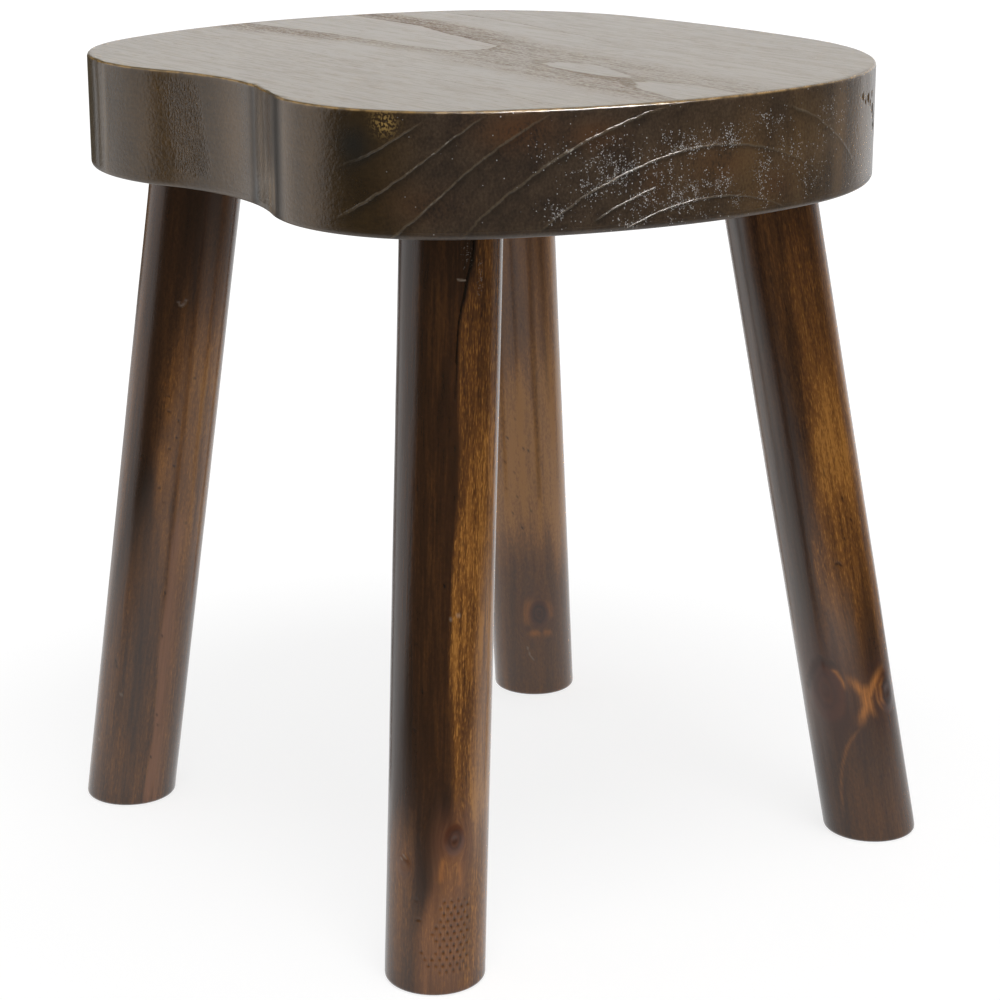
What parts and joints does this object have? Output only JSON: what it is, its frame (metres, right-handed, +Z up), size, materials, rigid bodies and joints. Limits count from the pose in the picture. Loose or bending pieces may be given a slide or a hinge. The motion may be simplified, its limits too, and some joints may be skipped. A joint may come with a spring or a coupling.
{
  "type": "footstool",
  "caption": "Low rustic stool with a thick rounded slab seat, a hollow in its front edge, and splayed natural pole legs in blind wedged joints.",
  "frame": {"origin": "on the floor, under the middle of the seat's outline", "axes": "+Z up, +X along the grain of the slab, -Y towards the hollow in the front edge"},
  "size_m": [0.3716, 0.339, 0.4],
  "materials": {
    "seat_wood": "dark stained, satin lacquer, worn edges",
    "leg_wood": "dark stained peeled pole, glossy lacquer",
    "wedge_wood": "bare split hardwood"
  },
  "bodies": {
    "root": {"seat_slab": "seat_wood", "leg_front_left": "leg_wood", "leg_front_right": "leg_wood", "leg_back_right": "leg_wood", "leg_back_left": "leg_wood", "wedge_front_left": "wedge_wood", "wedge_front_right": "wedge_wood", "wedge_back_right": "wedge_wood", "wedge_back_left": "wedge_wood"}
  },
  "joints": []
}
